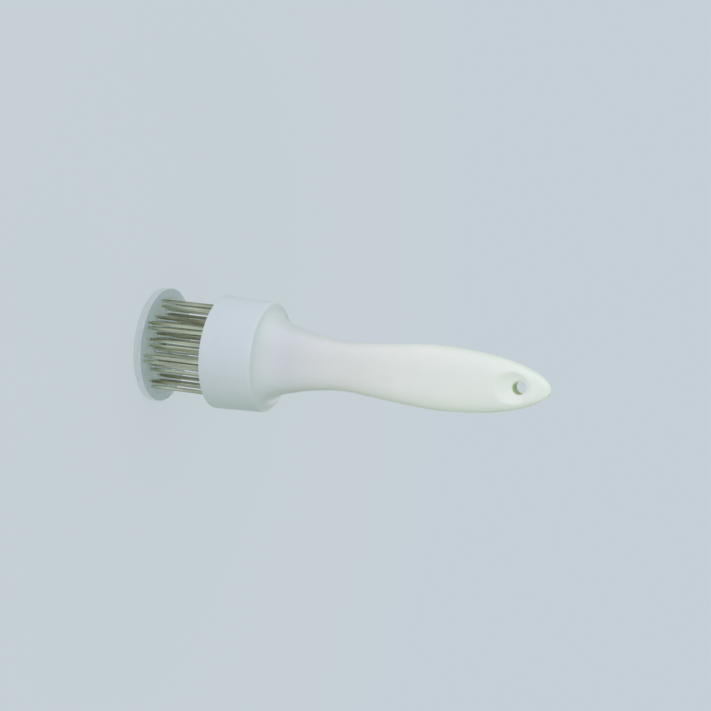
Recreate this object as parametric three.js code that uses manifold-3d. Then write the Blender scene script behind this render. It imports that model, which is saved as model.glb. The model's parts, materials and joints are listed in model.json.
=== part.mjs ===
// Blade meat tenderizer: a hollow-headed plastic handle, three rings of two-pointed steel blades,
// and a clear guard disc that a spring in the handle's neck holds over the blade tips. Pressing the
// handle down slides the blades through the guard's slots.
//
// Millimetres, +Z up the tool. The origin is the centre of the guard's flat face, on which the
// tool stands. X runs across the handle's width, and Y through its thickness.

import * as THREE from "three";
import { mergeVertices } from "three/addons/utils/BufferGeometryUtils.js";
import Module from "manifold-3d";

const wasm = await Module();
wasm.setup();

// Driving dimensions

const runningGap = 0.3;
const cutOverrun = 2;

const guardOverhang = 0.5;
const guardThickness = 4;
const guardEdgeBevel = 0.8;
const postSocketHeight = 1.2;
const postSocketWall = 1.2;

const prongWidth = 1.6;
const prongGap = 0.9;
const prongTipWidth = 0.3;
const prongPointLength = 2.2;
const bladeThickness = 0.8;
const bladeFreeLength = 33;
const bladeWebInset = 1;
const bladeRootLip = 0.6;
const bladeRootHeight = 1.2;
const bladeTipSetback = 1;

const headMouthRadius = 27.5;
const headDraft = 0.9;
const headLength = 26;
const headWall = 2;
const headCrown = 3.5;
const headLipRadius = 0.6;
const shoulderRadius = 1.6;

const handleLength = 138.9;
const handleTipFlat = 0.3;
const gripHalfWidth = 15.05;
const gripHalfThickness = 10.2;

const hangHoleRadius = 3;
const hangHoleInset = 14.3;
const hangDishRadius = 7.5;
const hangDishDepth = 1.4;

const holderThickness = 4;
const holderRecess = 0.8;
const clampThickness = 2;
const sleeveWall = 1.8;
const spacerWall = 0.9;

const postRadius = 3;
const postTopLength = 1.8;
const postGrooveDepth = 0.6;

const clipThickness = 0.8;
const clipWidth = 2;
const clipOpening = 3.2;
const clipHeadroom = 1.6;

const springWire = 1;
const springPostGap = 0.7;
const springReserve = 7;
const springCurls = 11;
const springEndCurls = 1;
const springEndPitch = 1.7;

const screwRadius = 1.25;
const screwHeadRadius = 2.3;
const screwHeadHeight = 1.6;
const screwGrip = 7;
const screwSlotWidth = 0.7;
const screwSlotDepth = 0.6;
const bossWall = 1.9;
const bossTipMargin = 1.2;

const guardStopGap = 1;

// Counts and shares

// Each ring's radius is a share of the way from the sleeve to the holder's edge, and its turn a
// share of the step between its blades. The middle ring's blades stand between the others', and
// every blade faces the handle's flat side.
const innerRing = { name: "inner", blades: 8, radiusShare: 0.245, turnShare: 0.33 };
const middleRing = { name: "middle", blades: 8, radiusShare: 0.578, turnShare: 0.83 };
const outerRing = { name: "outer", blades: 8, radiusShare: 0.84, turnShare: 0.33 };
const screwCount = 4;
const screwCircleShare = 0.54;

// Each row of the handle's outline: the share of the handle's length, then the half width and the
// half thickness as shares of the grip's. Both shrink with a square root that rounds the end.
const handleOutlineShares = [
  [0.094, 1.08, 1.31],
  [0.18, 0.945, 1.15],
  [0.27, 0.9, 1.1],
  [0.38, 1.06, 1.22],
  [0.5, 1.33, 1.41],
  [0.63, 1.645, 1.64],
  [0.75, 1.86, 1.8],
  [0.87, 2.07, 1.96],
  [1, 2.17, 2],
];
const neckFlareShare = 0.22;
const shoulderRiseShare = 0.03;
const gripSquareness = 3.2;

const handleSides = 44;
const handleStations = 28;
const roundSides = 48;
const boreSides = 24;
const screwSides = 12;
const filletSteps = 6;
const cornerSteps = 3;
const stationEase = 1.7;
const curlSteps = 8;
const wireSides = 5;
const searchSteps = 30;
const weldTolerance = 1e-4;

// Derived places, from the guard's face upward

const guardTop = guardThickness;
const mouthZ = bladeTipSetback + bladeFreeLength;
const guardTravel = mouthZ - guardTop - guardStopGap;
const shoulderZ = mouthZ + headLength;
const handleEndZ = shoulderZ + handleLength;
const cavityRadius = headMouthRadius - headDraft - headWall;
const ceilingZ = shoulderZ - headCrown;

const holderFrontZ = mouthZ + holderRecess;
const holderBackZ = holderFrontZ + holderThickness;
const rootZ = holderBackZ + runningGap;
const clampZ = rootZ + bladeRootHeight + runningGap;
const clampTopZ = clampZ + clampThickness;
const holderRadius = cavityRadius - runningGap;
const bladeWidth = 2 * prongWidth + prongGap;
const guardRadius = headMouthRadius + guardOverhang;

const sleeveBoreRadius = postRadius + runningGap;
const sleeveRadius = sleeveBoreRadius + sleeveWall;
const sleeveTopZ = ceilingZ - clipThickness - clipHeadroom;

const clipZ = sleeveTopZ + runningGap;
const clipTopZ = clipZ + clipThickness;
const clipInnerRadius = postRadius - postGrooveDepth + runningGap;
const clipOuterRadius = clipInnerRadius + clipWidth;
const postTopZ = clipTopZ + postTopLength;

const springMeanRadius = postRadius + springPostGap + springWire / 2;
const springLowZ = clipTopZ + runningGap;
const springPressedLength = springCurls * springWire + springReserve;
const springHighZ = springLowZ + springPressedLength + guardTravel;
const neckBoreRadius = clipOuterRadius + 2 * runningGap;
const neckBoreTopZ = springHighZ + runningGap;

const bossBoreRadius = screwRadius + runningGap;
const bossRadius = bossBoreRadius + bossWall;
const spacerRadius = bossBoreRadius + spacerWall;
const bossZ = clampTopZ + runningGap;
const screwTipZ = bossZ + screwGrip;
const hangHoleZ = handleEndZ - hangHoleInset;

function holderRingRadius(share) {
  return sleeveRadius + (holderRadius - sleeveRadius) * share;
}

// Solids

function toSolid(geometry) {
  const bare = geometry.index ? geometry.toNonIndexed() : geometry.clone();
  bare.deleteAttribute("normal");
  bare.deleteAttribute("uv");
  const merged = mergeVertices(bare, weldTolerance);
  return new wasm.Manifold(
    new wasm.Mesh({
      numProp: 3,
      vertProperties: new Float32Array(merged.attributes.position.array),
      triVerts: new Uint32Array(merged.index.array),
    }),
  );
}

function toGeometry(solid) {
  const mesh = solid.getMesh();
  const geometry = new THREE.BufferGeometry();
  geometry.setAttribute("position", new THREE.BufferAttribute(mesh.vertProperties, 3));
  geometry.setIndex(new THREE.BufferAttribute(mesh.triVerts, 1));
  const flat = geometry.toNonIndexed();
  flat.computeVertexNormals();
  return flat;
}

// A profile of [radius, z] points turned about Z, listed from the bottom of the axis to its top.
function revolve(profile, sides) {
  const points = profile.map(([radius, z]) => new THREE.Vector2(radius, z));
  return toSolid(new THREE.LatheGeometry(points, sides).rotateX(Math.PI / 2));
}

function rod(radius, fromZ, toZ, sides) {
  return revolve([[0, fromZ], [radius, fromZ], [radius, toZ], [0, toZ]], sides);
}

function tube(innerRadius, outerRadius, fromZ, toZ, sides) {
  return rod(outerRadius, fromZ, toZ, sides).subtract(
    rod(innerRadius, fromZ - cutOverrun, toZ + cutOverrun, sides),
  );
}

function block(sizeX, sizeY, fromZ, toZ) {
  const box = new THREE.BoxGeometry(sizeX, sizeY, toZ - fromZ);
  return toSolid(box.translate(0, 0, (fromZ + toZ) / 2));
}

// A closed skin over rings of points that all have the same count, with a fan at each end.
function skin(rings) {
  const sides = rings[0].length;
  const positions = [];
  const push = (...corners) => corners.forEach((p) => positions.push(p.x, p.y, p.z));
  const middle = (ring) =>
    ring.reduce((sum, p) => sum.add(p), new THREE.Vector3()).divideScalar(sides);
  rings.slice(1).forEach((upper, r) => {
    const lower = rings[r];
    for (let i = 0; i < sides; i++) {
      const j = (i + 1) % sides;
      push(lower[i], lower[j], upper[j]);
      push(lower[i], upper[j], upper[i]);
    }
  });
  const bottom = rings[0];
  const top = rings[rings.length - 1];
  const bottomMiddle = middle(bottom);
  const topMiddle = middle(top);
  for (let i = 0; i < sides; i++) {
    const j = (i + 1) % sides;
    push(bottomMiddle, bottom[j], bottom[i]);
    push(topMiddle, top[i], top[j]);
  }
  const geometry = new THREE.BufferGeometry();
  geometry.setAttribute("position", new THREE.Float32BufferAttribute(positions, 3));
  return geometry;
}

function places(count, turnShare = 0) {
  const step = (2 * Math.PI) / count;
  return Array.from({ length: count }, (_, i) => (i + turnShare) * step);
}

function around(solid, radius, angle) {
  const degrees = THREE.MathUtils.radToDeg(angle);
  return solid.translate([radius, 0, 0]).rotate([0, 0, degrees]);
}

function joined(solids) {
  return solids.reduce((sum, solid) => sum.add(solid));
}

// Where the blades stand, and the holder's screws in the turns halfway between the middle ring's.

const bladePlaces = [innerRing, middleRing, outerRing].flatMap((ring) =>
  places(ring.blades, ring.turnShare).map((angle, i) => ({
    name: "blade_" + ring.name + "_" + (i + 1),
    x: holderRingRadius(ring.radiusShare) * Math.cos(angle),
    y: holderRingRadius(ring.radiusShare) * Math.sin(angle),
  })),
);
const screwCircle = holderRingRadius(screwCircleShare);
const [firstScrewAngle] = places(middleRing.blades, middleRing.turnShare + 1 / 2);
const screwAngles = places(screwCount).map((angle) => firstScrewAngle + angle);

function bladeSlots(fromZ, toZ) {
  const sizeX = bladeWidth + 2 * runningGap;
  const sizeY = bladeThickness + 2 * runningGap;
  const slot = block(sizeX, sizeY, fromZ - cutOverrun, toZ + cutOverrun);
  return joined(bladePlaces.map(({ x, y }) => slot.translate([x, y, 0])));
}

function screwRods(radius, fromZ, toZ) {
  const oneRod = rod(radius, fromZ, toZ, screwSides);
  return joined(screwAngles.map((angle) => around(oneRod, screwCircle, angle)));
}

// Handle and head in one moulding

function ovalRing(z, halfWidth, halfThickness, squareness) {
  const power = 2 / squareness;
  return places(handleSides).map((angle) => {
    const c = Math.cos(angle);
    const s = Math.sin(angle);
    const x = halfWidth * Math.sign(c) * Math.abs(c) ** power;
    const y = halfThickness * Math.sign(s) * Math.abs(s) ** power;
    return new THREE.Vector3(x, y, z);
  });
}

const outline = new THREE.CatmullRomCurve3(
  handleOutlineShares.map((row) => new THREE.Vector3(...row)),
);

function handleStation(along) {
  const { x: share, y: widthShare, z: thicknessShare } = outline.getPoint(along);
  const taper = Math.sqrt(Math.max(1 - share, 0));
  return {
    z: shoulderZ + handleLength * share,
    halfWidth: gripHalfWidth * widthShare * taper,
    halfThickness: gripHalfThickness * thicknessShare * taper,
  };
}

function headRings() {
  const mouthSide = headMouthRadius;
  const shoulderSide = headMouthRadius - headDraft;
  const rings = [
    ovalRing(mouthZ, mouthSide - headLipRadius, mouthSide - headLipRadius, 2),
    ovalRing(mouthZ + headLipRadius, mouthSide, mouthSide, 2),
  ];
  for (let i = 0; i <= cornerSteps; i++) {
    const turn = ((Math.PI / 2) * i) / cornerSteps;
    const radius = shoulderSide - shoulderRadius * (1 - Math.cos(turn));
    const z = shoulderZ - shoulderRadius * (1 - Math.sin(turn));
    rings.push(ovalRing(z, radius, radius, 2));
  }
  return rings;
}

// The shoulder sweeps up into the neck: flat where it leaves the head's corner, and along the
// neck's own flare where it meets it.
function neckRings() {
  const root = handleStation(0);
  const corner = headMouthRadius - headDraft - shoulderRadius;
  const rise = (root.z - shoulderZ) * shoulderRiseShare;
  const flare = (root.z - shoulderZ) * neckFlareShare;
  const sweep = (rootSize) =>
    new THREE.QuadraticBezierCurve(
      new THREE.Vector2(corner, shoulderZ),
      new THREE.Vector2(rootSize + flare, shoulderZ + rise),
      new THREE.Vector2(rootSize, root.z),
    );
  const wide = sweep(root.halfWidth);
  const thick = sweep(root.halfThickness);
  const rings = [];
  for (let i = 1; i < filletSteps; i++) {
    const along = i / filletSteps;
    const { x: halfWidth, y: z } = wide.getPoint(along);
    const squareness = THREE.MathUtils.lerp(2, gripSquareness, along);
    rings.push(ovalRing(z, halfWidth, thick.getPoint(along).x, squareness));
  }
  return rings;
}

function gripRings() {
  const rings = [];
  for (let i = 0; i < handleStations; i++) {
    const along = 1 - (1 - i / handleStations) ** stationEase;
    const { z, halfWidth, halfThickness } = handleStation(along);
    rings.push(ovalRing(z, halfWidth, halfThickness, gripSquareness));
  }
  rings.push(ovalRing(handleEndZ, handleTipFlat, handleTipFlat, 2));
  return rings;
}

// A shallow dish in each face round the hang hole, cut by a ball that sits above the face.
function hangDish(side) {
  const { halfThickness } = handleStation(
    outlineShareAt((hangHoleZ - shoulderZ) / handleLength),
  );
  const ballRadius = (hangDishRadius ** 2 + hangDishDepth ** 2) / (2 * hangDishDepth);
  const ball = new THREE.SphereGeometry(ballRadius, roundSides, roundSides / 2);
  const centreY = side * (halfThickness - hangDishDepth + ballRadius);
  return toSolid(ball.rotateX(Math.PI / 2).translate(0, centreY, hangHoleZ));
}

// The curve's parameter at which the outline reaches a share of the handle's length.
function outlineShareAt(lengthShare) {
  let low = 0;
  let high = 1;
  for (let i = 0; i < searchSteps; i++) {
    const middle = (low + high) / 2;
    if (outline.getPoint(middle).x < lengthShare) {
      low = middle;
    } else {
      high = middle;
    }
  }
  return low;
}

function makeHandle() {
  let body = toSolid(skin([...headRings(), ...neckRings(), ...gripRings()]));
  body = body.subtract(rod(cavityRadius, mouthZ - cutOverrun, ceilingZ, roundSides));
  body = body.add(screwRods(bossRadius, bossZ, ceilingZ + headCrown / 2));
  body = body.subtract(
    screwRods(bossBoreRadius, bossZ - cutOverrun, screwTipZ + bossTipMargin),
  );
  body = body.subtract(rod(neckBoreRadius, ceilingZ - cutOverrun, neckBoreTopZ, boreSides));
  const holeReach = gripHalfThickness + cutOverrun;
  const hole = new THREE.CylinderGeometry(
    hangHoleRadius, hangHoleRadius, 2 * holeReach, boreSides,
  );
  body = body.subtract(toSolid(hole.translate(0, 0, hangHoleZ)));
  return body.subtract(hangDish(1)).subtract(hangDish(-1));
}

// Blade pack

// A flat strip split into two pointed prongs, which join inside the holder, with a wider root.
function makeBlade() {
  const half = bladeWidth / 2;
  const gapHalf = prongGap / 2;
  const rootHalf = half + bladeRootLip;
  const rootTop = rootZ + bladeRootHeight;
  const shoulderOfPoint = bladeTipSetback + prongPointLength;
  const web = holderFrontZ + bladeWebInset;
  const tipMiddle = (half + gapHalf) / 2;
  const tipInner = tipMiddle - prongTipWidth / 2;
  const tipOuter = tipMiddle + prongTipWidth / 2;
  const rightHalf = [
    [gapHalf, web],
    [gapHalf, shoulderOfPoint],
    [tipInner, bladeTipSetback],
    [tipOuter, bladeTipSetback],
    [half, shoulderOfPoint],
    [half, rootZ],
    [rootHalf, rootZ],
    [rootHalf, rootTop],
  ];
  const leftHalf = rightHalf.map(([x, z]) => [-x, z]).reverse();
  const outlineOfBlade = new THREE.Shape(
    [...rightHalf, ...leftHalf].map(([x, z]) => new THREE.Vector2(x, z)),
  );
  const strip = new THREE.ExtrudeGeometry(outlineOfBlade, {
    depth: bladeThickness,
    bevelEnabled: false,
  });
  strip.translate(0, 0, -bladeThickness / 2);
  strip.rotateX(Math.PI / 2);
  return toSolid(strip);
}

// A slotted disc with the post's sleeve, and a spacer at each screw that keeps the clamp plate off
// the blade roots.
function makeHolder() {
  const body = revolve(
    [
      [0, holderFrontZ],
      [holderRadius, holderFrontZ],
      [holderRadius, holderBackZ],
      [sleeveRadius, holderBackZ],
      [sleeveRadius, sleeveTopZ],
      [0, sleeveTopZ],
    ],
    roundSides,
  );
  const postHole = rod(
    sleeveBoreRadius, holderFrontZ - cutOverrun, sleeveTopZ + cutOverrun, boreSides,
  );
  const headPocketZ = holderFrontZ + screwHeadHeight + runningGap;
  return body
    .add(screwRods(spacerRadius, holderFrontZ, clampZ - runningGap))
    .subtract(postHole)
    .subtract(bladeSlots(holderFrontZ, holderBackZ))
    .subtract(screwRods(bossBoreRadius, holderFrontZ, clampZ + cutOverrun))
    .subtract(
      screwRods(screwHeadRadius + runningGap, holderFrontZ - cutOverrun, headPocketZ),
    );
}

function makeClampPlate() {
  const inner = sleeveRadius + runningGap;
  const ring = tube(inner, holderRadius, clampZ, clampTopZ, roundSides);
  return ring.subtract(
    screwRods(bossBoreRadius, clampZ - cutOverrun, clampTopZ + cutOverrun),
  );
}

function makeScrew(headZ, tipZ) {
  const underHead = headZ + screwHeadHeight;
  const body = revolve(
    [
      [0, headZ],
      [screwHeadRadius, headZ],
      [screwHeadRadius, underHead],
      [screwRadius, underHead],
      [screwRadius, tipZ - screwRadius],
      [0, tipZ],
    ],
    screwSides,
  );
  const slot = (sizeX, sizeY) =>
    block(sizeX, sizeY, headZ - cutOverrun, headZ + screwSlotDepth);
  const slotLength = screwHeadRadius + screwRadius;
  return body
    .subtract(slot(slotLength, screwSlotWidth))
    .subtract(slot(screwSlotWidth, slotLength));
}

// One unbroken wire: close curls at both ends, open ones between.
function makeSpring() {
  const low = springLowZ + springWire / 2;
  const high = springHighZ - springWire / 2;
  const openCurls = springCurls - 2 * springEndCurls;
  const openPitch = (high - low - 2 * springEndCurls * springEndPitch) / openCurls;
  const heightAt = (turns) => {
    const atEnds = Math.min(turns, springEndCurls) +
      Math.max(turns - springEndCurls - openCurls, 0);
    const open = Math.min(Math.max(turns - springEndCurls, 0), openCurls);
    return low + atEnds * springEndPitch + open * openPitch;
  };
  const steps = springCurls * curlSteps;
  const centres = [];
  for (let i = 0; i <= steps; i++) {
    const turns = i / curlSteps;
    const angle = turns * 2 * Math.PI;
    centres.push(new THREE.Vector3(
      springMeanRadius * Math.cos(angle), springMeanRadius * Math.sin(angle), heightAt(turns),
    ));
  }
  let leastGap = Infinity;
  for (let i = 0; i <= steps; i++) {
    for (let j = i + curlSteps / 2; j <= steps; j++) {
      leastGap = Math.min(leastGap, centres[i].distanceTo(centres[j]) - springWire);
    }
  }
  console.log("return_spring least gap to itself " + leastGap.toFixed(2) + " mm");
  const rings = centres.map((centre, i) => {
    const ahead = centres[Math.min(i + 1, steps)];
    const behind = centres[Math.max(i - 1, 0)];
    const along = ahead.clone().sub(behind).normalize();
    const outward = new THREE.Vector3(centre.x, centre.y, 0).normalize();
    const upward = along.clone().cross(outward).normalize();
    return places(wireSides).map((angle) =>
      centre.clone()
        .addScaledVector(outward, (springWire / 2) * Math.cos(angle))
        .addScaledVector(upward, (springWire / 2) * Math.sin(angle)),
    );
  });
  return toSolid(skin(rings));
}

// Guard, its post and what holds them

const postZ = guardTop + runningGap;
const postScrewZ = runningGap;
const postScrewTipZ = postZ + screwGrip;

function makeGuardPlate() {
  const plate = revolve(
    [
      [0, 0],
      [guardRadius - guardEdgeBevel, 0],
      [guardRadius, guardEdgeBevel],
      [guardRadius, guardTop - guardEdgeBevel],
      [guardRadius - guardEdgeBevel, guardTop],
      [0, guardTop],
    ],
    roundSides,
  );
  const socketRadius = sleeveBoreRadius + postSocketWall;
  const socketTopZ = guardTop + postSocketHeight;
  const socket = rod(socketRadius, 0, socketTopZ, boreSides).subtract(
    rod(sleeveBoreRadius, guardTop, socketTopZ + cutOverrun, boreSides),
  );
  const headPocket = rod(
    screwHeadRadius + runningGap,
    -cutOverrun,
    postScrewZ + screwHeadHeight + runningGap,
    screwSides,
  );
  const shankHole = rod(bossBoreRadius, -cutOverrun, guardTop + cutOverrun, screwSides);
  return plate
    .add(socket)
    .subtract(headPocket)
    .subtract(shankHole)
    .subtract(bladeSlots(0, guardTop));
}

function makePost() {
  const grooveLow = clipZ - runningGap;
  const grooveHigh = clipTopZ + runningGap;
  const grooveRadius = postRadius - postGrooveDepth;
  const body = revolve(
    [
      [0, postZ],
      [postRadius, postZ],
      [postRadius, grooveLow],
      [grooveRadius, grooveLow],
      [grooveRadius, grooveHigh],
      [postRadius, grooveHigh],
      [postRadius, postTopZ - postGrooveDepth],
      [postRadius - postGrooveDepth, postTopZ],
      [0, postTopZ],
    ],
    boreSides,
  );
  return body.subtract(
    rod(bossBoreRadius, postZ - cutOverrun, postScrewTipZ + bossTipMargin, screwSides),
  );
}

function makeClip() {
  const ring = tube(clipInnerRadius, clipOuterRadius, clipZ, clipTopZ, boreSides);
  const gap = block(clipOuterRadius + cutOverrun, clipOpening, clipZ - cutOverrun,
    clipTopZ + cutOverrun);
  return ring.subtract(gap.translate([(clipOuterRadius + cutOverrun) / 2, 0, 0]));
}

// Materials

const whitePlastic = new THREE.MeshStandardMaterial({
  color: 0xdfe4e7, roughness: 0.35, metalness: 0,
});
const innerPlastic = new THREE.MeshStandardMaterial({
  color: 0xd2d8da, roughness: 0.5, metalness: 0,
});
const clearPlastic = new THREE.MeshStandardMaterial({
  color: 0xb9cbcf, roughness: 0.1, metalness: 0, transparent: true, opacity: 0.35,
});
const bladeSteel = new THREE.MeshStandardMaterial({
  color: 0xb9b7aa, roughness: 0.3, metalness: 1,
});
const springSteel = new THREE.MeshStandardMaterial({
  color: 0xa9abab, roughness: 0.25, metalness: 1,
});

// Assembly

const tool = new THREE.Group();
const handleGroup = new THREE.Group();
const guardGroup = new THREE.Group();
tool.add(handleGroup, guardGroup);

function addPiece(group, name, solid, material) {
  const mesh = new THREE.Mesh(toGeometry(solid), material);
  mesh.name = name;
  group.add(mesh);
  return mesh;
}

addPiece(handleGroup, "handle_body", makeHandle(), whitePlastic);
addPiece(handleGroup, "blade_holder", makeHolder(), innerPlastic);
addPiece(handleGroup, "clamp_plate", makeClampPlate(), innerPlastic);

const holderScrew = makeScrew(holderFrontZ, screwTipZ);
screwAngles.forEach((angle, i) => {
  const solid = around(holderScrew, screwCircle, angle);
  addPiece(handleGroup, "holder_screw_" + (i + 1), solid, springSteel);
});

const blade = makeBlade();
bladePlaces.forEach(({ name, x, y }) => {
  addPiece(handleGroup, name, blade.translate([x, y, 0]), bladeSteel);
});

addPiece(handleGroup, "return_spring", makeSpring(), springSteel);

addPiece(guardGroup, "guard_plate", makeGuardPlate(), clearPlastic);
addPiece(guardGroup, "guide_post", makePost(), innerPlastic);
addPiece(guardGroup, "post_screw", makeScrew(postScrewZ, postScrewTipZ), springSteel);
addPiece(guardGroup, "retaining_clip", makeClip(), springSteel);

export default tool;
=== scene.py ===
"""Blade meat tenderizer: the looks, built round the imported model.

Metres, in the model's frame: +Z up the tool from the guard disc's flat face, X across the
handle's width, Y through its thickness. The tool's lengths are written in millimetres times MM.
"""

import json
import math

import bmesh
import bpy
from mathutils import Matrix, Vector


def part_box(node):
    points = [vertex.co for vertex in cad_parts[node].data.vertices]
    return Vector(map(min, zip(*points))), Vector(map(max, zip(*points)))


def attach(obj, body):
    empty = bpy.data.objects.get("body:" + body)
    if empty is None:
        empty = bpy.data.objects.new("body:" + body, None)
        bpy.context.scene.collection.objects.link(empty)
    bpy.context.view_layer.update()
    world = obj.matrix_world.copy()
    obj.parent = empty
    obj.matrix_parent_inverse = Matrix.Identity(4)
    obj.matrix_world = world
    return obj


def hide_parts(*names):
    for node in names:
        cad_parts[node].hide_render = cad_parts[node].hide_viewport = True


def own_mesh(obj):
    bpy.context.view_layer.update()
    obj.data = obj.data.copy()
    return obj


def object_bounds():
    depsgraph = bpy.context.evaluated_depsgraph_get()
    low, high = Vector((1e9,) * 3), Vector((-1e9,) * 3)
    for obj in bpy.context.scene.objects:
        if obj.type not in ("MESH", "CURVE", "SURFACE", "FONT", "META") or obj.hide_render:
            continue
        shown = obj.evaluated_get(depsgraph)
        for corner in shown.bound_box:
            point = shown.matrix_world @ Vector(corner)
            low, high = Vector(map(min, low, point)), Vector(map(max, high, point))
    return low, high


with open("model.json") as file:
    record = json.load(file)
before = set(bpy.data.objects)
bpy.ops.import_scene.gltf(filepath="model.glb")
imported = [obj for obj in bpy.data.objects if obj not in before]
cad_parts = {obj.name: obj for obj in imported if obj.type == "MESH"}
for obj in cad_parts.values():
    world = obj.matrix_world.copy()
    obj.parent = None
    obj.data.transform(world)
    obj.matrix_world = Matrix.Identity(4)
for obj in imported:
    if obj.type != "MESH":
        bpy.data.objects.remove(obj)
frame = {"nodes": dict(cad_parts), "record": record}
cad_low, cad_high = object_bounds()
nodes = frame["nodes"]

MM = 0.001

# Places and sizes that the frame gives

body_low, body_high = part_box("handle_body")
guard_low, guard_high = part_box("guard_plate")
holder_low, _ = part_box("blade_holder")
spring_low, spring_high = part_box("return_spring")
_, clip_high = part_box("retaining_clip")

BLADE_NODES = sorted(
    name for name in nodes if name.startswith("blade_") and name != "blade_holder"
)
MOUTH_Z = body_low.z
END_Z = body_high.z
MOUTH_RADIUS = body_high.x

# Sizes of the moulding

HEAD_LENGTH = 26 * MM
HEAD_DRAFT = 0.9 * MM
HEAD_WALL = 2 * MM
HEAD_CROWN = 3.5 * MM
LIP_RADIUS = 0.6 * MM
SHOULDER_RADIUS = 1.6 * MM
GRIP_HALF_WIDTH = 15.05 * MM
GRIP_HALF_THICKNESS = 10.2 * MM
TIP_FLAT = 0.3 * MM
HOLE_RADIUS = 3 * MM
HOLE_INSET = 14.3 * MM
HOLE_EDGE_RADIUS = 0.35 * MM
DISH_RADIUS = 8 * MM
DISH_DEPTH = 2.6 * MM
DISH_SOFTNESS = 0.25 * MM
RUNNING_GAP = 0.3 * MM
CUT_OVERRUN = 2 * MM

SHOULDER_Z = MOUTH_Z + HEAD_LENGTH
HANDLE_LENGTH = END_Z - SHOULDER_Z
CAVITY_RADIUS = MOUTH_RADIUS - HEAD_DRAFT - HEAD_WALL
CEILING_Z = SHOULDER_Z - HEAD_CROWN
HOLE_Z = END_Z - HOLE_INSET
NECK_BORE_RADIUS = clip_high.y + 2 * RUNNING_GAP
NECK_BORE_TOP = spring_high.z + RUNNING_GAP

# The handle's outline: the share of its length, then the half width and half thickness as shares
# of the grip's, both times a square root that rounds the end

OUTLINE_SHARES = (
    (0.094, 1.08, 1.31),
    (0.18, 0.945, 1.15),
    (0.27, 0.9, 1.1),
    (0.38, 1.06, 1.22),
    (0.5, 1.33, 1.41),
    (0.63, 1.645, 1.64),
    (0.75, 1.86, 1.8),
    (0.87, 2.07, 1.96),
    (1, 2.17, 2),
)
OUTLINE = [Vector(row) for row in OUTLINE_SHARES]
NECK_FLARE_SHARE = 0.22
SHOULDER_RISE_SHARE = 0.03
ROUND = 2
GRIP_SQUARENESS = 3.2
STATION_EASE = 1.7
CURVE_END_MARGIN = 1e-9

# Sizes of the blades and the guard

PRONG_WIDTH = 1.6 * MM
PRONG_GAP = 0.9 * MM
PRONG_TIP_WIDTH = 0.3 * MM
PRONG_POINT_LENGTH = 2.2 * MM
BLADE_WIDTH = 2 * PRONG_WIDTH + PRONG_GAP
BLADE_THICKNESS = 0.8 * MM
BLADE_WEB_INSET = 1 * MM
BLADE_ROOT_LIP = 0.6 * MM
BLADE_ROOT_HEIGHT = 1.2 * MM
BLADE_EDGE_THICKNESS = 0.14 * MM
BLADE_GRIND_LENGTH = 2.8 * MM
BLADE_CORNER = 0.09 * MM

GUARD_THICKNESS = 4 * MM
GUARD_TOP = guard_low.z + GUARD_THICKNESS
GUARD_EDGE_RADIUS = 0.8 * MM
SOCKET_INNER = 3.3 * MM
SOCKET_WALL = 1.2 * MM
SOCKET_EDGE = 0.25 * MM
SLOT_CORNER = 0.35 * MM
SCREW_POCKET_RADIUS = 2.6 * MM
SCREW_POCKET_DEPTH = 2.2 * MM
SCREW_HOLE_RADIUS = 1.55 * MM

# Sizes of the return spring

SPRING_WIRE = 1 * MM
SPRING_CURLS = 11
SPRING_END_PITCH = 1.7 * MM

# Fineness of the meshes

HANDLE_SIDES = 96
HANDLE_STATIONS = 90
FILLET_STEPS = 14
CORNER_STEPS = 8
LIP_STEPS = 4
SEARCH_STEPS = 30
HOLE_SIDES = 64
HOLE_EDGE_STEPS = 6
HOLE_EDGE_END_DEG = 115
GUARD_SIDES = 160
GUARD_EDGE_STEPS = 6
SOCKET_EDGE_STEPS = 3
SLOT_CORNER_STEPS = 4
BLADE_CORNER_STEPS = 2
CURL_STEPS = 36
WIRE_SIDES = 12

# Edges sharper than these stay sharp under smooth shading

SMOOTH_DEG = 35
HANDLE_SMOOTH_DEG = 40
GUARD_SMOOTH_DEG = 30
BLADE_SMOOTH_DEG = 25
SPRING_SMOOTH_DEG = 60
SOLID_SMOOTH_DEG = 30

# Colours are linear red, green and blue, and ramps are rows of a place and its colour

WHITE = (1, 1, 1)

# The white plastic from the head to the tip of the grip, with painted shade: darker and cooler
# towards the head and lighter towards the tip, as the light falls
PLASTIC_SHADE_STOPS = (
    (0.12, (0.683, 0.725, 0.79)),
    (0.24, (0.685, 0.70, 0.745)),
    (0.36, (0.757, 0.757, 0.77)),
    (0.58, (0.86, 0.865, 0.848)),
    (0.95, (0.875, 0.905, 0.872)),
)
MOTTLE_STOPS = ((0.3, (0.95, 0.97, 0.97)), (0.7, WHITE))
# Painted olive shade on the wall of the hang hole, fading out past its rounded rim
HOLE_SHADE_STOPS = ((0.1, (0.72, 0.8, 0.52)), (0.8, WHITE))

INNER_STOPS = ((0.3, (0.60, 0.64, 0.64)), (0.7, (0.68, 0.71, 0.71)))

CLEAR_CAST = (0.70, 0.78, 0.80)
CLEAR_ALPHA = 0.2
FROSTED_ALPHA = 0.75
FROST_DEPTH = 0.1 * MM
FROST_STOPS = ((0.25, (0.33, 0.42, 0.41)), (0.75, (0.40, 0.50, 0.49)))
SLOTTED_STOPS = ((0.8, (0.92, 0.93, 0.72)), (0.9, WHITE))

# Brown patches on the blades: painted reflection and shade
BLADE_REFLECTION_AND_SHADE_STOPS = ((0.36, (0.40, 0.38, 0.23)), (0.47, (0.64, 0.67, 0.50)), (0.7, (0.86, 0.91, 0.74)))
# Painted shade on the blades' edges that face sideways
EDGE_SHADE_STOPS = ((0.35, WHITE), (0.75, (0.38, 0.36, 0.28)))
STREAK_STOPS = ((0.4, (0.62, 0.60, 0.56)), (0.56, WHITE))

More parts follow.
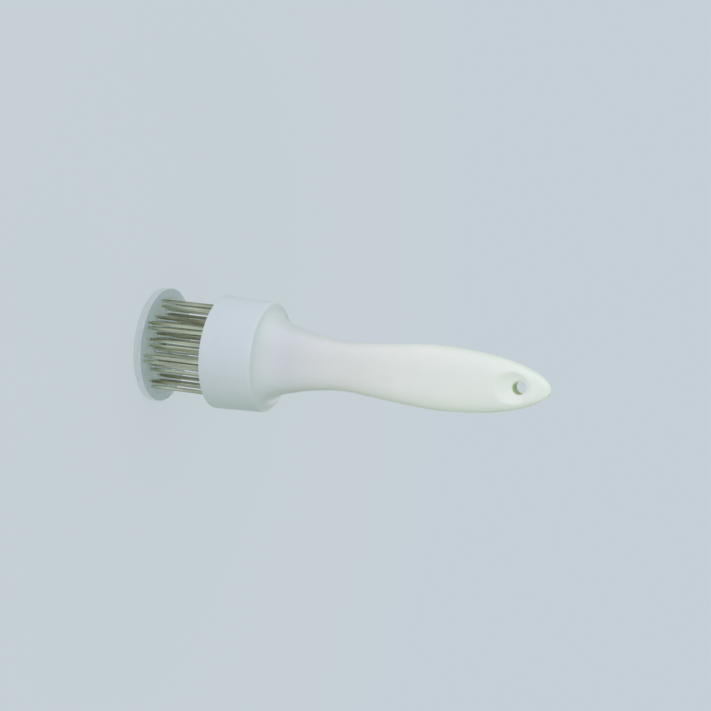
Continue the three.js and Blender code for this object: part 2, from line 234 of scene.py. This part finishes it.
SPRING_STOPS = ((0.3, (0.48, 0.48, 0.47)), (0.7, (0.62, 0.62, 0.61)))

# The part of a noise's range over which a surface's roughness changes
NOISE_LOW = 0.3
NOISE_HIGH = 0.7

# Floor, dome and lamps

BACKGROUND = (0.565, 0.627, 0.680)
FLOOR_HALF = 3.0
FLOOR_DROP = 0.05 * MM
FLOOR_BOUNCE = (0.8, 0.84, 0.82)
FLOOR_ROUGHNESS = 0.8
# The share of the background's colour that is seen: on the floor up to FLOOR_NEAR from the tool,
# and from FLOOR_FAR on, and on the dome
FLOOR_NEAR = 0.15
FLOOR_FAR = 0.5
NEAR_SHARE = 0.85
FAR_SHARE = 1.0

BRIGHT_SIDE = (-0.75, -0.65, 0)
DOME_DARK = 0.22
DOME_BRIGHT = 1.28
DARK_CAST = (0.8, 0.98, 0.7)
BRIGHT_CAST = (0.925, 0.98, 0.96)

# Each lamp's name, place, diameter, watts and colour; both are aimed at the tool's middle
LAMPS = (
    ("key", (-0.296, -0.634, 0.08), 0.25, 0.65, (0.84, 0.4, 1)),
    ("back", (0.3, 0.85, 0.0), 0.5, 2.5, (1, 0.9, 1)),
)

# The camera: the fitted viewing angle and the tool's place before the lens

FRAME_PIXELS = 711
FOCAL_PIXELS = 2000
SENSOR_WIDTH_MM = 36
VIEW_TURN_DEG = 6.26
VIEW_TILT_DEG = 20.12
VIEW_ROLL_DEG = 6.75
ORIGIN_IN_CAMERA = Vector((-97.3 * MM, -5.8 * MM, 980.6 * MM))
ORIGIN_DROP = 1.14 * MM
CLIP_START = 0.01
CLIP_END = 20


# Mesh helpers


def new_object(name, bm, smooth_deg=SMOOTH_DEG):
    """A mesh object from a bmesh, smooth shaded except at edges sharper than the angle."""
    bmesh.ops.recalc_face_normals(bm, faces=bm.faces)
    mesh = bpy.data.meshes.new(name)
    bm.to_mesh(mesh)
    bm.free()
    piece = bpy.data.objects.new(name, mesh)
    bpy.context.scene.collection.objects.link(piece)
    shade(piece, smooth_deg)
    return piece


def shade(piece, smooth_deg):
    for face in piece.data.polygons:
        face.use_smooth = True
    piece.data.set_sharp_from_angle(angle=math.radians(smooth_deg))


def add_loops(bm, rings):
    return [[bm.verts.new(point) for point in ring] for ring in rings]


def join_loops(bm, loops):
    """Joins each loop of vertices with the next by quads."""
    sides = len(loops[0])
    for lower, upper in zip(loops, loops[1:]):
        for i in range(sides):
            j = (i + 1) % sides
            bm.faces.new((lower[i], lower[j], upper[j], upper[i]))


def ring_skin(bm, rings):
    """Joins rings of points with quads, and closes each end with a fan of triangles."""
    loops = add_loops(bm, rings)
    join_loops(bm, loops)
    sides = len(loops[0])
    for loop in (loops[0], loops[-1]):
        middle = sum((v.co for v in loop), Vector()) / sides
        hub = bm.verts.new(middle)
        for i in range(sides):
            bm.faces.new((loop[i], loop[(i + 1) % sides], hub))


def circle(radius, z, sides):
    turns = [2 * math.pi * i / sides for i in range(sides)]
    return [Vector((radius * math.cos(t), radius * math.sin(t), z)) for t in turns]


def arc(centre_radius, centre_z, radius, from_deg, to_deg, steps):
    """Rows of radius and z along an arc; 0 degrees points out from the axis and 90 up it."""
    rows = []
    for i in range(steps + 1):
        turn = math.radians(from_deg + (to_deg - from_deg) * i / steps)
        rows.append((centre_radius + radius * math.cos(turn), centre_z + radius * math.sin(turn)))
    return rows


def cut(piece, cutter):
    """Cuts one mesh out of another and removes the cutter."""
    modifier = piece.modifiers.new("cut", "BOOLEAN")
    modifier.operation = "DIFFERENCE"
    modifier.solver = "EXACT"
    modifier.object = cutter
    bpy.context.view_layer.update()
    made = bpy.data.meshes.new_from_object(
        piece.evaluated_get(bpy.context.evaluated_depsgraph_get())
    )
    piece.modifiers.clear()
    piece.data = made
    bpy.data.objects.remove(cutter)


# Node helpers


def rgba(colour):
    return (*colour, 1)


class Nodes:
    """Short calls that add and join the nodes of a tree."""

    def __init__(self, tree):
        self.tree = tree

    def add(self, kind, **values):
        node = self.tree.nodes.new(kind)
        for key, value in values.items():
            setattr(node, key, value)
        return node

    def link(self, source, target):
        self.tree.links.new(source, target)

    def feed(self, source, target):
        """Links a socket to the target, or sets a plain value on it."""
        if isinstance(source, bpy.types.NodeSocket):
            self.link(source, target)
        else:
            target.default_value = source

    def calculate(self, operation, *values):
        """The result of a Math node for sockets and plain numbers."""
        node = self.add("ShaderNodeMath", operation=operation)
        for value, socket in zip(values, node.inputs):
            self.feed(value, socket)
        return node.outputs["Value"]

    def blend(self, factor, first, second, blend_type="MIX"):
        """Goes from the first colour to the second as the factor grows."""
        node = self.add("ShaderNodeMix", data_type="RGBA", blend_type=blend_type)
        self.feed(factor, node.inputs["Factor"])
        self.feed(first, node.inputs["A"])
        self.feed(second, node.inputs["B"])
        return node.outputs["Result"]

    def multiply(self, first, second):
        return self.blend(1, first, second, "MULTIPLY")

    def ramp(self, factor, stops):
        node = self.add("ShaderNodeValToRGB")
        elements = node.color_ramp.elements
        while len(elements) < len(stops):
            elements.new(0.5)
        for element, (place, colour) in zip(elements, stops):
            element.position = place
            element.color = rgba(colour)
        self.link(factor, node.inputs["Fac"])
        return node.outputs["Color"]

    def span(self, factor, low, high, from_low=0, from_high=1):
        """Goes from low to high as the factor goes from from_low to from_high."""
        node = self.add("ShaderNodeMapRange")
        node.inputs["From Min"].default_value = from_low
        node.inputs["From Max"].default_value = from_high
        node.inputs["To Min"].default_value = low
        node.inputs["To Max"].default_value = high
        self.link(factor, node.inputs["Value"])
        return node.outputs["Result"]


class Material(Nodes):
    """A new material with its shader."""

    def __init__(self, name):
        self.material = bpy.data.materials.new(name)
        self.material.use_nodes = True
        super().__init__(self.material.node_tree)
        self.shader = self.tree.nodes["Principled BSDF"]

    def set(self, **values):
        for key, value in values.items():
            self.shader.inputs[key.replace("_", " ")].default_value = value

    def position(self, along=1):
        """The place on the resting object; along below 1 draws a pattern out along the tool."""
        source = self.add("ShaderNodeTexCoord")
        mapping = self.add("ShaderNodeMapping")
        mapping.inputs["Scale"].default_value = (1, 1, along)
        self.link(source.outputs["Object"], mapping.inputs["Vector"])
        return mapping.outputs["Vector"]

    def axes(self):
        """The separate coordinates of the place on the resting object."""
        node = self.add("ShaderNodeSeparateXYZ")
        self.link(self.position(), node.inputs["Vector"])
        return node.outputs

    def distance(self, across, up):
        """The length of a pair of coordinates."""
        node = self.add("ShaderNodeCombineXYZ")
        self.link(across, node.inputs["X"])
        self.link(up, node.inputs["Y"])
        length = self.add("ShaderNodeVectorMath", operation="LENGTH")
        self.link(node.outputs["Vector"], length.inputs[0])
        return length.outputs["Value"]

    def noise(self, vector, scale, detail=3, roughness=0.5):
        node = self.add("ShaderNodeTexNoise")
        node.inputs["Scale"].default_value = scale
        node.inputs["Detail"].default_value = detail
        node.inputs["Roughness"].default_value = roughness
        self.link(vector, node.inputs["Vector"])
        return node.outputs["Fac"]

    def colour(self, source):
        self.link(source, self.shader.inputs["Base Color"])

    def roughness(self, noise, low, high):
        spread = self.span(noise, low, high, NOISE_LOW, NOISE_HIGH)
        self.link(spread, self.shader.inputs["Roughness"])

    def bump(self, height, strength, distance):
        node = self.add("ShaderNodeBump")
        node.inputs["Strength"].default_value = strength
        node.inputs["Distance"].default_value = distance
        self.link(height, node.inputs["Height"])
        self.link(node.outputs["Normal"], self.shader.inputs["Normal"])


# Materials


def white_plastic():
    """Moulded white plastic: satin, with painted shade that makes it darker and cooler towards the
    head, and painted olive shade in the hang hole.
    """
    n = Material("white_plastic")
    place = n.position()
    axes = n.axes()
    along = n.span(axes["Z"], 0, 1, MOUTH_Z, END_Z)
    mottle = n.noise(place, scale=55, detail=4, roughness=0.6)
    # Painted shade: the plastic darker and cooler towards the head, lighter towards the tip
    shaded = n.multiply(n.ramp(along, PLASTIC_SHADE_STOPS), n.ramp(mottle, MOTTLE_STOPS))
    # Painted olive shade on the hang hole's wall, set by the distance from the hole's axis
    above_hole = n.span(axes["Z"], MOUTH_Z - HOLE_Z, END_Z - HOLE_Z, MOUTH_Z, END_Z)
    from_hole = n.distance(axes["X"], above_hole)
    outside_hole_shade = n.span(from_hole, 0, 1, HOLE_RADIUS, HOLE_RADIUS + HOLE_EDGE_RADIUS)
    n.colour(n.multiply(shaded, n.ramp(outside_hole_shade, HOLE_SHADE_STOPS)))
    scuff = n.noise(n.position(along=0.35), scale=240, detail=5, roughness=0.65)
    n.roughness(scuff, low=0.46, high=0.6)
    n.bump(n.noise(place, scale=1400, detail=2), strength=0.12, distance=0.05 * MM)
    n.set(IOR=1.4)
    return n.material


def inner_plastic():
    """Satin off-white plastic of the holder, the clamp plate and the guide post."""
    n = Material("inner_plastic")
    place = n.position()
    grain = n.noise(place, scale=130, detail=4, roughness=0.6)
    n.colour(n.ramp(grain, INNER_STOPS))
    n.roughness(grain, low=0.42, high=0.58)
    n.bump(n.noise(place, scale=2600, detail=2), strength=0.2, distance=0.05 * MM)
    n.set(IOR=1.5)
    return n.material


def clear_plastic():
    """Clear moulded plastic: its upper face frosted grey-green, its other faces pale and clear."""
    n = Material("clear_plastic")
    axes = n.axes()
    frosted = n.span(axes["Z"], 0, 1, GUARD_TOP - 2 * FROST_DEPTH, GUARD_TOP - FROST_DEPTH)
    flow = n.noise(n.position(along=0.4), scale=90, detail=4, roughness=0.6)
    outward = n.span(n.distance(axes["X"], axes["Y"]), 0, 1, 0, guard_high.x)
    frost = n.multiply(n.ramp(flow, FROST_STOPS), n.ramp(outward, SLOTTED_STOPS))
    n.colour(n.blend(frosted, rgba(CLEAR_CAST), frost))
    n.link(n.span(frosted, CLEAR_ALPHA, FROSTED_ALPHA), n.shader.inputs["Alpha"])
    n.roughness(flow, low=0.12, high=0.25)
    n.bump(n.noise(n.position(), scale=420), strength=0.06, distance=0.1 * MM)
    n.set(IOR=1.2, Transmission_Weight=0.6)
    return n.material


def blade_steel():
    """Stamped stainless strip: drawn and streaked along its length, with brown patches of painted
    reflection and shade, and painted shade on its edges that face sideways."""
    n = Material("blade_steel")
    along = n.position(along=0.03)
    lines = n.noise(along, scale=2600, detail=4, roughness=0.7)
    # Painted reflection and shade in brown patches, drawn out along the strip
    reflection_patches = n.noise(n.position(along=0.12), scale=260, roughness=0.6)
    # Painted shade: faces turned sideways across the strip are darkened, by the surface's
    # direction
    facing = n.add("ShaderNodeSeparateXYZ")
    n.link(n.add("ShaderNodeTexCoord").outputs["Normal"], facing.inputs["Vector"])
    sideways = n.calculate("ABSOLUTE", facing.outputs["X"])
    strip = n.multiply(n.ramp(reflection_patches, BLADE_REFLECTION_AND_SHADE_STOPS), n.ramp(sideways, EDGE_SHADE_STOPS))
    streaks = n.ramp(n.noise(along, scale=900, detail=2), STREAK_STOPS)
    n.colour(n.multiply(strip, streaks))
    n.roughness(lines, low=0.22, high=0.46)
    n.bump(lines, strength=0.25, distance=0.03 * MM)
    n.set(Metallic=1.0, Anisotropic=0.4)
    return n.material


def spring_steel():
    """Bright drawn wire, turned screws and the stamped clip."""
    n = Material("spring_steel")
    grain = n.noise(n.position(), scale=900, detail=4, roughness=0.6)
    n.colour(n.ramp(grain, SPRING_STOPS))
    n.roughness(grain, low=0.2, high=0.36)
    n.bump(grain, strength=0.1, distance=0.02 * MM)
    n.set(Metallic=1.0)
    return n.material


MATERIALS = {
    "white_plastic": white_plastic(),
    "inner_plastic": inner_plastic(),
    "clear_plastic": clear_plastic(),
    "blade_steel": blade_steel(),
    "spring_steel": spring_steel(),
}


def paint(piece, slot):
    piece.data.materials.clear()
    piece.data.materials.append(MATERIALS[slot])


def dress(piece, slot, body, *replaced):
    """Paints a new piece, ties it to its body and lets it stand for its nodes."""
    paint(piece, slot)
    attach(piece, body)
    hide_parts(*replaced)


# Handle


def catmull_rom(points, along):
    """A point on the centripetal Catmull-Rom curve through the points; along runs 0 to 1."""
    last = len(points) - 1
    place = min(along * last, last - CURVE_END_MARGIN)
    index = int(place)
    weight = place - index
    p1 = points[index]
    p2 = points[index + 1]
    p0 = points[index - 1] if index > 0 else 2 * p1 - p2
    p3 = points[index + 2] if index + 2 <= last else 2 * p2 - p1
    d0 = (p1 - p0).length ** 0.5
    d1 = (p2 - p1).length ** 0.5
    d2 = (p3 - p2).length ** 0.5
    t1 = ((p1 - p0) / d0 - (p2 - p0) / (d0 + d1) + (p2 - p1) / d1) * d1
    t2 = ((p2 - p1) / d1 - (p3 - p1) / (d1 + d2) + (p3 - p2) / d2) * d1
    a = 2 * p1 - 2 * p2 + t1 + t2
    b = -3 * p1 + 3 * p2 - 2 * t1 - t2
    return a * weight**3 + b * weight**2 + t1 * weight + p1


def handle_station(along):
    """z, half width and half thickness of the handle at a place along its outline."""
    share, width_share, thickness_share = catmull_rom(OUTLINE, along)
    taper = math.sqrt(max(1 - share, 0))
    return (
        SHOULDER_Z + HANDLE_LENGTH * share,
        GRIP_HALF_WIDTH * width_share * taper,
        GRIP_HALF_THICKNESS * thickness_share * taper,
    )


def oval(z, half_width, half_thickness, squareness):
    """A ring that is an ellipse at squareness ROUND, and flatter-sided above it."""
    power = 2 / squareness
    ring = []
    for i in range(HANDLE_SIDES):
        c = math.cos(2 * math.pi * i / HANDLE_SIDES)
        s = math.sin(2 * math.pi * i / HANDLE_SIDES)
        x = half_width * math.copysign(abs(c) ** power, c)
        y = half_thickness * math.copysign(abs(s) ** power, s)
        ring.append(Vector((x, y, z)))
    return ring


def bezier(start, middle, end, along):
    back = 1 - along
    return back * back * start + 2 * back * along * middle + along * along * end


def head_rings():
    """From the neck's bore, through the cavity and round the lip, to the top of the shoulder."""
    lip_z = MOUTH_Z + LIP_RADIUS
    profile = [
        (NECK_BORE_RADIUS, NECK_BORE_TOP),
        (NECK_BORE_RADIUS, CEILING_Z),
        (CAVITY_RADIUS, CEILING_Z),
        (CAVITY_RADIUS, lip_z),
    ]
    profile += arc(CAVITY_RADIUS + LIP_RADIUS, lip_z, LIP_RADIUS, 180, 270, LIP_STEPS)[1:]
    profile += arc(MOUTH_RADIUS - LIP_RADIUS, lip_z, LIP_RADIUS, -90, 0, LIP_STEPS)
    side_radius = MOUTH_RADIUS - HEAD_DRAFT
    profile += arc(
        side_radius - SHOULDER_RADIUS,
        SHOULDER_Z - SHOULDER_RADIUS,
        SHOULDER_RADIUS,
        0,
        90,
        CORNER_STEPS,
    )
    return [circle(radius, z, HANDLE_SIDES) for radius, z in profile]


def neck_rings():
    """The fillet from the top of the shoulder to the start of the handle's outline."""
    top_radius = MOUTH_RADIUS - HEAD_DRAFT - SHOULDER_RADIUS
    root_z, root_width, root_thickness = handle_station(0)
    rise = (root_z - SHOULDER_Z) * SHOULDER_RISE_SHARE
    flare = (root_z - SHOULDER_Z) * NECK_FLARE_SHARE
    rings = []
    for i in range(1, FILLET_STEPS):
        along = i / FILLET_STEPS
        z = bezier(SHOULDER_Z, SHOULDER_Z + rise, root_z, along)
        width = bezier(top_radius, root_width + flare, root_width, along)
        thickness = bezier(top_radius, root_thickness + flare, root_thickness, along)
        rings.append(oval(z, width, thickness, ROUND + (GRIP_SQUARENESS - ROUND) * along))
    return rings


def grip_rings():
    rings = []
    for i in range(HANDLE_STATIONS):
        along = 1 - (1 - i / HANDLE_STATIONS) ** STATION_EASE
        z, width, thickness = handle_station(along)
        rings.append(oval(z, width, thickness, GRIP_SQUARENESS))
    rings.append(oval(END_Z, TIP_FLAT, TIP_FLAT, ROUND))
    return rings


def hole_thickness():
    """Half the handle's thickness at the hang hole."""
    low, high = 0.0, 1.0
    for _ in range(SEARCH_STEPS):
        middle = (low + high) / 2
        if handle_station(middle)[0] < HOLE_Z:
            low = middle
        else:
            high = middle
    return handle_station(low)[2]


def press_dish(bm):
    """Presses the shallow dish round the hang hole into both faces, with a soft edge."""
    ball = (DISH_RADIUS**2 + DISH_DEPTH**2) / (2 * DISH_DEPTH)
    centre = hole_thickness() - DISH_DEPTH + ball
    soft = DISH_SOFTNESS
    for vert in bm.verts:
        away = math.hypot(vert.co.x, vert.co.z - HOLE_Z)
        if away >= ball or vert.co.z < SHOULDER_Z:
            continue
        limit = centre - math.sqrt(ball**2 - away**2)
        depth = abs(vert.co.y)
        over = depth - limit
        if over > -soft:
            blend = min((over + soft) / (2 * soft), 1)
            lowered = limit if over > soft else depth - soft * blend * blend
            vert.co.y = math.copysign(lowered, vert.co.y)


def hole_cutter():
    """A round cutter whose ends flare, so that the hole's rims are rounded."""
    rim = hole_thickness() - DISH_DEPTH
    bend = arc(
        HOLE_RADIUS + HOLE_EDGE_RADIUS,
        rim - HOLE_EDGE_RADIUS,
        HOLE_EDGE_RADIUS,
        180,
        HOLE_EDGE_END_DEG,
        HOLE_EDGE_STEPS,
    )
    bend.append((bend[-1][0] + CUT_OVERRUN, rim + CUT_OVERRUN))
    profile = [(radius, -z) for radius, z in reversed(bend)] + bend
    bm = bmesh.new()
    ring_skin(bm, [circle(radius, z, HOLE_SIDES) for radius, z in profile])
    turn = Matrix.Rotation(math.radians(90), 4, "X")
    bmesh.ops.transform(bm, matrix=turn, verts=bm.verts)
    bmesh.ops.translate(bm, vec=(0, 0, HOLE_Z), verts=bm.verts)
    return new_object("hole_cutter", bm)


def make_handle():
    bm = bmesh.new()
    ring_skin(bm, head_rings() + neck_rings() + grip_rings())
    press_dish(bm)
    piece = new_object("handle_moulding", bm)
    cut(piece, hole_cutter())
    shade(piece, HANDLE_SMOOTH_DEG)
    dress(piece, "white_plastic", "handle", "handle_body")


# Guard disc


def blade_place(name):
    """The middle of a blade across the tool, from its node's box."""
    low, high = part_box(name)
    return Vector(((low.x + high.x) / 2, (low.y + high.y) / 2, 0))


def guard_profile():
    """Rows of radius and z round the disc's section, from the screw's hole back to it."""
    edge = GUARD_EDGE_RADIUS
    side_radius = guard_high.x - edge
    socket_outer = SOCKET_INNER + SOCKET_WALL
    pocket_z = guard_low.z + SCREW_POCKET_DEPTH
    rim_z = guard_high.z - SOCKET_EDGE
    return [
        (SCREW_HOLE_RADIUS, pocket_z),
        (SCREW_POCKET_RADIUS, pocket_z),
        (SCREW_POCKET_RADIUS, guard_low.z),
        *arc(side_radius, guard_low.z + edge, edge, -90, 0, GUARD_EDGE_STEPS),
        *arc(side_radius, GUARD_TOP - edge, edge, 0, 90, GUARD_EDGE_STEPS),
        (socket_outer, GUARD_TOP),
        *arc(socket_outer - SOCKET_EDGE, rim_z, SOCKET_EDGE, 0, 90, SOCKET_EDGE_STEPS),
        *arc(SOCKET_INNER + SOCKET_EDGE, rim_z, SOCKET_EDGE, 90, 180, SOCKET_EDGE_STEPS),
        (SOCKET_INNER, GUARD_TOP),
        (SCREW_HOLE_RADIUS, GUARD_TOP),
    ]


def slot_outline():
    """The slot round a blade: a rectangle with rounded corners."""
    half_x = BLADE_WIDTH / 2 + RUNNING_GAP
    half_y = BLADE_THICKNESS / 2 + RUNNING_GAP
    points = []
    for side_x, side_y, start_deg in ((1, 1, 0), (-1, 1, 90), (-1, -1, 180), (1, -1, 270)):
        for i in range(SLOT_CORNER_STEPS + 1):
            turn = math.radians(start_deg + 90 * i / SLOT_CORNER_STEPS)
            x = side_x * (half_x - SLOT_CORNER) + SLOT_CORNER * math.cos(turn)
            y = side_y * (half_y - SLOT_CORNER) + SLOT_CORNER * math.sin(turn)
            points.append((x, y))
    return points


def slot_cutter():
    bm = bmesh.new()
    outline = slot_outline()
    for name in BLADE_NODES:
        middle = blade_place(name)
        rings = []
        for z in (guard_low.z - CUT_OVERRUN, GUARD_TOP + CUT_OVERRUN):
            rings.append([middle + Vector((x, y, z)) for x, y in outline])
        ring_skin(bm, rings)
    return new_object("slot_cutter", bm)


def make_guard():
    bm = bmesh.new()
    loops = add_loops(bm, [circle(radius, z, GUARD_SIDES) for radius, z in guard_profile()])
    join_loops(bm, loops + loops[:1])
    piece = new_object("guard_disc", bm)
    cut(piece, slot_cutter())
    shade(piece, GUARD_SMOOTH_DEG)
    dress(piece, "clear_plastic", "guard", "guard_plate")


# Blades


def blade_outline(low, high):
    """Half of the flat strip's outline, from the web between its prongs round to the root."""
    half = BLADE_WIDTH / 2
    gap = PRONG_GAP / 2
    tip = (half + gap) / 2
    root_z = high - BLADE_ROOT_HEIGHT
    point_z = low + PRONG_POINT_LENGTH
    return [
        (gap, holder_low.z + BLADE_WEB_INSET),
        (gap, point_z),
        (tip - PRONG_TIP_WIDTH / 2, low),
        (tip + PRONG_TIP_WIDTH / 2, low),
        (half, point_z),
        (half, root_z),
        (half + BLADE_ROOT_LIP, root_z),
        (half + BLADE_ROOT_LIP, high),
    ]


def blade_mesh(low, high):
    """One stamped blade about the Z axis, its faces across Y: eased edges and ground points."""
    right = blade_outline(low, high)
    outline = right + [(-x, z) for x, z in reversed(right)]
    half = BLADE_THICKNESS / 2
    bm = bmesh.new()
    front = [bm.verts.new((x, half, z)) for x, z in outline]
    back = [bm.verts.new((x, -half, z)) for x, z in outline]
    bm.faces.new(front)
    bm.faces.new(reversed(back))
    for i in range(len(outline)):
        j = (i + 1) % len(outline)
        bm.faces.new((front[j], front[i], back[i], back[j]))
    bmesh.ops.bevel(
        bm, geom=bm.edges[:], offset=BLADE_CORNER, segments=BLADE_CORNER_STEPS, affect="EDGES"
    )
    grind_z = low + BLADE_GRIND_LENGTH
    everything = bm.verts[:] + bm.edges[:] + bm.faces[:]
    bmesh.ops.bisect_plane(bm, geom=everything, plane_co=(0, 0, grind_z), plane_no=(0, 0, 1))
    edge_share = BLADE_EDGE_THICKNESS / BLADE_THICKNESS
    for vert in bm.verts:
        if vert.co.z < grind_z:
            ground = (vert.co.z - low) / BLADE_GRIND_LENGTH
            vert.co.y *= edge_share + (1 - edge_share) * ground
    return bm


def make_blades():
    for name in BLADE_NODES:
        low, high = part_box(name)
        bm = blade_mesh(low.z, high.z)
        bmesh.ops.translate(bm, vec=blade_place(name), verts=bm.verts)
        piece = new_object("steel_" + name, bm, BLADE_SMOOTH_DEG)
        dress(piece, "blade_steel", "handle", name)


# Return spring


def spring_centres():
    """The middle line of the wire, with one closer curl at each end."""
    wire = SPRING_WIRE / 2
    radius = spring_high.x - wire
    low = spring_low.z + wire
    high = spring_high.z - wire
    open_curls = SPRING_CURLS - 2
    open_pitch = (high - low - 2 * SPRING_END_PITCH) / open_curls
    centres = []
    for i in range(SPRING_CURLS * CURL_STEPS + 1):
        turns = i / CURL_STEPS
        ends = min(turns, 1) + max(turns - 1 - open_curls, 0)
        opened = min(max(turns - 1, 0), open_curls)
        angle = 2 * math.pi * turns
        z = low + ends * SPRING_END_PITCH + opened * open_pitch
        centres.append(Vector((radius * math.cos(angle), radius * math.sin(angle), z)))
    return centres


def make_spring():
    """One unbroken wire swept round the coil's middle line."""
    wire = SPRING_WIRE / 2
    centres = spring_centres()
    rings = []
    for i, centre in enumerate(centres):
        ahead = centres[min(i + 1, len(centres) - 1)]
        behind = centres[max(i - 1, 0)]
        along = (ahead - behind).normalized()
        outward = Vector((centre.x, centre.y, 0)).normalized()
        upward = along.cross(outward).normalized()
        rings.append([
            centre
            + outward * wire * math.cos(2 * math.pi * k / WIRE_SIDES)
            + upward * wire * math.sin(2 * math.pi * k / WIRE_SIDES)
            for k in range(WIRE_SIDES)
        ])
    bm = bmesh.new()
    ring_skin(bm, rings)
    piece = new_object("coil_spring", bm, SPRING_SMOOTH_DEG)
    dress(piece, "spring_steel", "handle", "return_spring")
    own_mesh(piece)


# Pieces that keep their own solids


def finish_inner_pieces():
    slots = {row["node"]: row["material_slot"] for row in frame["record"]["subparts"]}
    replaced = {"handle_body", "guard_plate", "return_spring", *BLADE_NODES}
    for name, node in nodes.items():
        if name not in replaced:
            paint(node, slots[name])
            shade(node, SOLID_SMOOTH_DEG)


# Floor, light and camera


def show_as_background(n, lit, target, share):
    """Mixes the background's colour over a lit shader for camera, glossy and transmission rays."""
    rays = n.add("ShaderNodeLightPath").outputs
    seen = n.calculate("MAXIMUM", rays["Is Camera Ray"], rays["Is Glossy Ray"])
    seen = n.calculate("MAXIMUM", seen, rays["Is Transmission Ray"])
    plain = n.add("ShaderNodeEmission")
    plain.inputs["Color"].default_value = rgba(BACKGROUND)
    mix = n.add("ShaderNodeMixShader")
    n.link(n.calculate("MULTIPLY", seen, share), mix.inputs["Fac"])
    n.link(lit, mix.inputs[1])
    n.link(plain.outputs["Emission"], mix.inputs[2])
    n.link(mix.outputs["Shader"], target)


def make_floor():
    """A plain floor whose shade shows a little near the tool."""
    bm = bmesh.new()
    bmesh.ops.create_grid(bm, x_segments=2, y_segments=2, size=FLOOR_HALF)
    bmesh.ops.translate(bm, vec=(0, 0, guard_low.z - FLOOR_DROP), verts=bm.verts)
    floor = new_object("floor", bm)
    n = Material("floor")
    n.set(Base_Color=rgba(FLOOR_BOUNCE), Roughness=FLOOR_ROUGHNESS)
    axes = n.axes()
    share = n.span(n.distance(axes["X"], axes["Y"]), NEAR_SHARE, FAR_SHARE, FLOOR_NEAR, FLOOR_FAR)
    surface = n.tree.nodes["Material Output"].inputs["Surface"]
    show_as_background(n, n.shader.outputs["BSDF"], surface, share)
    floor.data.materials.append(n.material)


def make_world():
    """A dome that is brighter and less green towards its bright side."""
    world = bpy.data.worlds.new("studio")
    bpy.context.scene.world = world
    world.use_nodes = True
    n = Nodes(world.node_tree)
    n.tree.nodes.clear()
    towards = n.add("ShaderNodeVectorMath", operation="DOT_PRODUCT")
    towards.inputs[1].default_value = Vector(BRIGHT_SIDE).normalized()
    n.link(n.add("ShaderNodeTexCoord").outputs["Generated"], towards.inputs[0])
    facing = towards.outputs["Value"]
    light = n.add("ShaderNodeBackground")
    n.link(n.span(facing, DOME_DARK, DOME_BRIGHT, from_low=-1), light.inputs["Strength"])
    cast = n.blend(n.span(facing, 0, 1, from_low=-1), rgba(DARK_CAST), rgba(BRIGHT_CAST))
    n.link(cast, light.inputs["Color"])
    surface = n.add("ShaderNodeOutputWorld").inputs["Surface"]
    show_as_background(n, light.outputs["Background"], surface, FAR_SHARE)


def make_lamps():
    middle = Vector((0, 0, (cad_low.z + cad_high.z) / 2))
    for name, place, diameter, watts, colour in LAMPS:
        data = bpy.data.lights.new(name, "AREA")
        data.shape = "DISK"
        data.size = diameter
        data.energy = watts
        data.color = colour
        lamp = bpy.data.objects.new(name, data)
        bpy.context.scene.collection.objects.link(lamp)
        lamp.location = place
        lamp.rotation_mode = "QUATERNION"
        lamp.rotation_quaternion = (middle - Vector(place)).to_track_quat("-Z", "Y")


def make_camera():
    """The photograph's view: the tool lies across the frame with its guard to the left."""
    axes = Matrix(((0, 0, 1), (1, 0, 0), (0, 1, 0)))
    turn = Matrix.Rotation(math.radians(VIEW_TURN_DEG), 3, "X")
    tilt = Matrix.Rotation(math.radians(VIEW_TILT_DEG), 3, "Y")
    roll = Matrix.Rotation(math.radians(VIEW_ROLL_DEG), 3, "Z")
    to_camera = roll @ tilt @ turn @ axes
    right, down, forward = to_camera
    place = -(to_camera.transposed() @ ORIGIN_IN_CAMERA)
    place.z -= ORIGIN_DROP
    data = bpy.data.cameras.new("camera")
    data.sensor_width = SENSOR_WIDTH_MM
    data.lens = SENSOR_WIDTH_MM * FOCAL_PIXELS / FRAME_PIXELS
    data.clip_start = CLIP_START
    data.clip_end = CLIP_END
    camera = bpy.data.objects.new("camera", data)
    bpy.context.scene.collection.objects.link(camera)
    camera.matrix_world = Matrix.Translation(place) @ Matrix(
        (right, -down, -forward)
    ).transposed().to_4x4()
    bpy.context.scene.camera = camera


make_camera()
make_handle()
make_guard()
make_blades()
make_spring()
finish_inner_pieces()
make_floor()
make_world()
make_lamps()
bpy.context.scene.view_settings.view_transform = "Standard"
